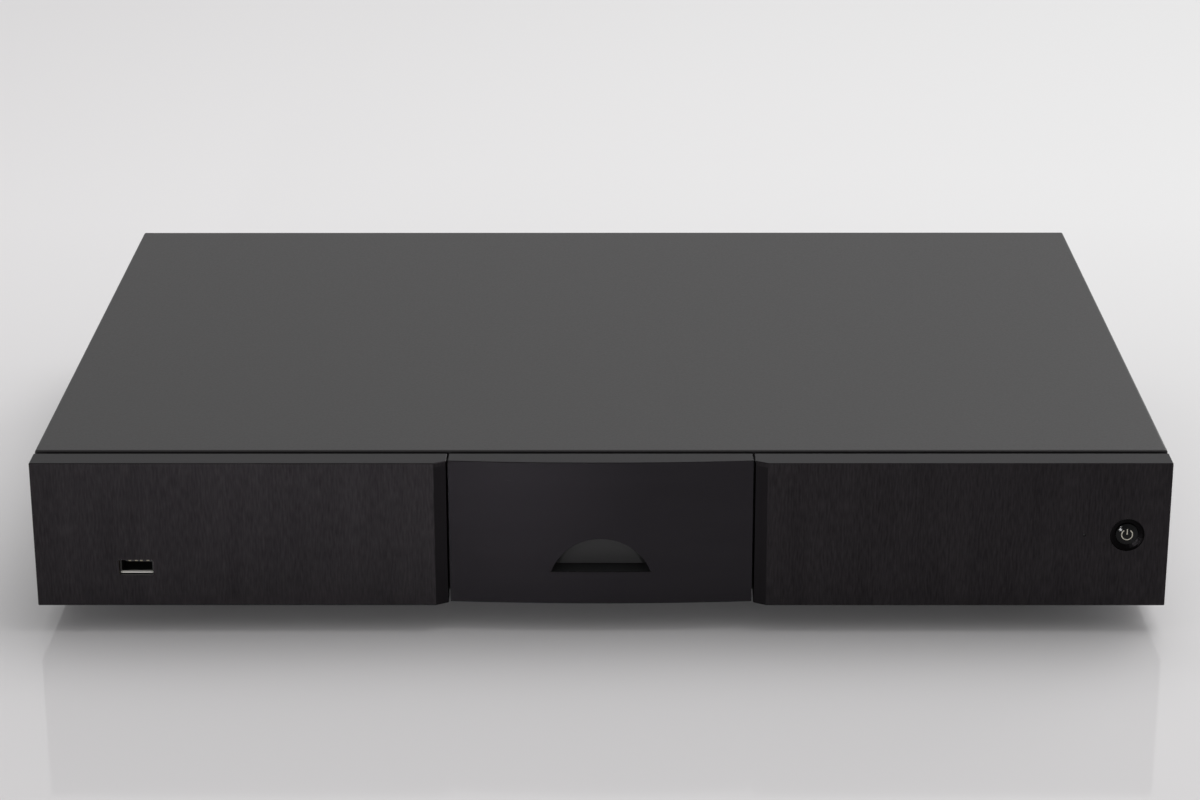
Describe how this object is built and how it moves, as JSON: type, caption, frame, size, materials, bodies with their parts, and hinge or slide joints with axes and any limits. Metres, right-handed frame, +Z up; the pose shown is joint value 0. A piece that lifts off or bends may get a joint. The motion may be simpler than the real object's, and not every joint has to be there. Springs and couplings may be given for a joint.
{
  "type": "network media player",
  "caption": "Slim full-width case with a panelled front, a power button in a dish, a front memory socket, and mains, network, digital, audio and antenna sockets at the back.",
  "frame": {"origin": "middle of the bounding box, at the level the feet stand on", "axes": "+X to the right seen from the front, -Y out of the front, +Z up"},
  "size_m": [0.432, 0.3108, 0.07],
  "materials": {
    "textured_paint": "black textured paint on sheet aluminium",
    "black_anodised": "black satin anodising",
    "centre_anodised": "dark satin anodising with a horizontal grain",
    "zinc_steel": "bright zinc plate",
    "black_steel": "black paint",
    "foot_rubber": "matte black",
    "smoked_acrylic": "smoked and polished",
    "frosted_acrylic": "frosted",
    "circuit_board": "green solder resist",
    "black_plastic": "black moulding",
    "gloss_button": "black gloss with a pale power sign",
    "bright_nickel": "bright nickel plate",
    "gold_plate": "gold plate",
    "wound_tape": "yellow tape over copper windings on a steel core",
    "capacitor_sleeve": "dark blue shrink sleeve on an aluminium can",
    "heatsink_metal": "black anodising",
    "fuse_glass": "clear tube with nickel caps",
    "grey_ribbon": "grey ribbed insulation",
    "lead_jacket": "black jacket"
  },
  "bodies": {
    "case": {"sleeve": "textured_paint", "base_tray": "zinc_steel", "front_subpanel": "black_steel", "rear_panel": "black_steel", "foot_front_left": "foot_rubber", "foot_front_right": "foot_rubber", "foot_rear_left": "foot_rubber", "foot_rear_right": "foot_rubber", "fascia_left": "black_anodised", "fascia_right": "black_anodised", "fascia_centre": "centre_anodised", "badge_lens": "smoked_acrylic", "badge_light_guide": "frosted_acrylic", "badge_led_board": "circuit_board", "usb_front_shell": "bright_nickel", "usb_front_tongue": "black_plastic", "usb_front_board": "circuit_board", "button_guide": "black_plastic", "power_switch": "black_plastic", "switch_board": "circuit_board", "sensor_light_pipe": "smoked_acrylic", "transformer_coil": "wound_tape", "transformer_pad": "foot_rubber", "transformer_dish": "zinc_steel", "transformer_bolt": "zinc_steel", "transformer_lead": "lead_jacket", "power_board": "circuit_board", "reservoir_capacitor_1": "capacitor_sleeve", "reservoir_capacitor_2": "capacitor_sleeve", "regulator_heatsink": "heatsink_metal", "main_board": "circuit_board", "streamer_board": "circuit_board", "shield_can": "bright_nickel", "front_ribbon": "grey_ribbon", "usb_lead": "lead_jacket", "mains_inlet": "black_plastic", "rocker_housing": "black_plastic", "ground_switch_body": "bright_nickel", "din_output": "black_plastic", "phono_left": "gold_plate", "phono_right": "gold_plate", "coax_input": "gold_plate", "bnc_input": "bright_nickel", "bnc_output": "bright_nickel", "optical_input_1": "black_plastic", "optical_input_2": "black_plastic", "usb_rear_shell": "bright_nickel", "usb_rear_tongue": "black_plastic", "network_socket": "bright_nickel", "antenna_socket_left": "gold_plate", "antenna_socket_right": "gold_plate", "remote_jack": "bright_nickel"},
    "power_button": {"power_button": "gloss_button", "switch_plunger": "bright_nickel"},
    "mains_rocker": {"mains_rocker": "black_plastic"},
    "ground_slider": {"ground_slider": "black_plastic"},
    "fuse_drawer": {"fuse_drawer": "black_plastic", "fuse": "fuse_glass"},
    "optical_shutter_1": {"optical_shutter_1": "black_plastic"},
    "optical_shutter_2": {"optical_shutter_2": "black_plastic"}
  },
  "joints": [
    {"name": "power_button_press", "type": "slide", "parent": "case", "child": "power_button", "axis": [0, 1, 0], "range_m": [0, 0.0008], "stiffness_N_per_m": 1500, "springref_m": -0.0003},
    {"name": "mains_rocker_tilt", "type": "hinge", "parent": "case", "child": "mains_rocker", "pos_m": [-0.13639, 0.1441, 0.04015], "axis": [1, 0, 0], "range_deg": [0, 24]},
    {"name": "ground_slider_slide", "type": "slide", "parent": "case", "child": "ground_slider", "axis": [-1, 0, 0], "range_m": [0, 0.004]},
    {"name": "fuse_drawer_pull", "type": "slide", "parent": "case", "child": "fuse_drawer", "axis": [0, 1, 0], "range_m": [0, 0.01]},
    {"name": "optical_shutter_1_swing", "type": "hinge", "parent": "case", "child": "optical_shutter_1", "pos_m": [0.10755, 0.14525, 0.03495], "axis": [-1, 0, 0], "range_deg": [0, 80], "stiffness_Nm_per_rad": 0.0001, "springref_deg": -17.19},
    {"name": "optical_shutter_2_swing", "type": "hinge", "parent": "case", "child": "optical_shutter_2", "pos_m": [0.08373, 0.14525, 0.03495], "axis": [-1, 0, 0], "range_deg": [0, 80], "stiffness_Nm_per_rad": 0.0001, "springref_deg": -17.19}
  ]
}
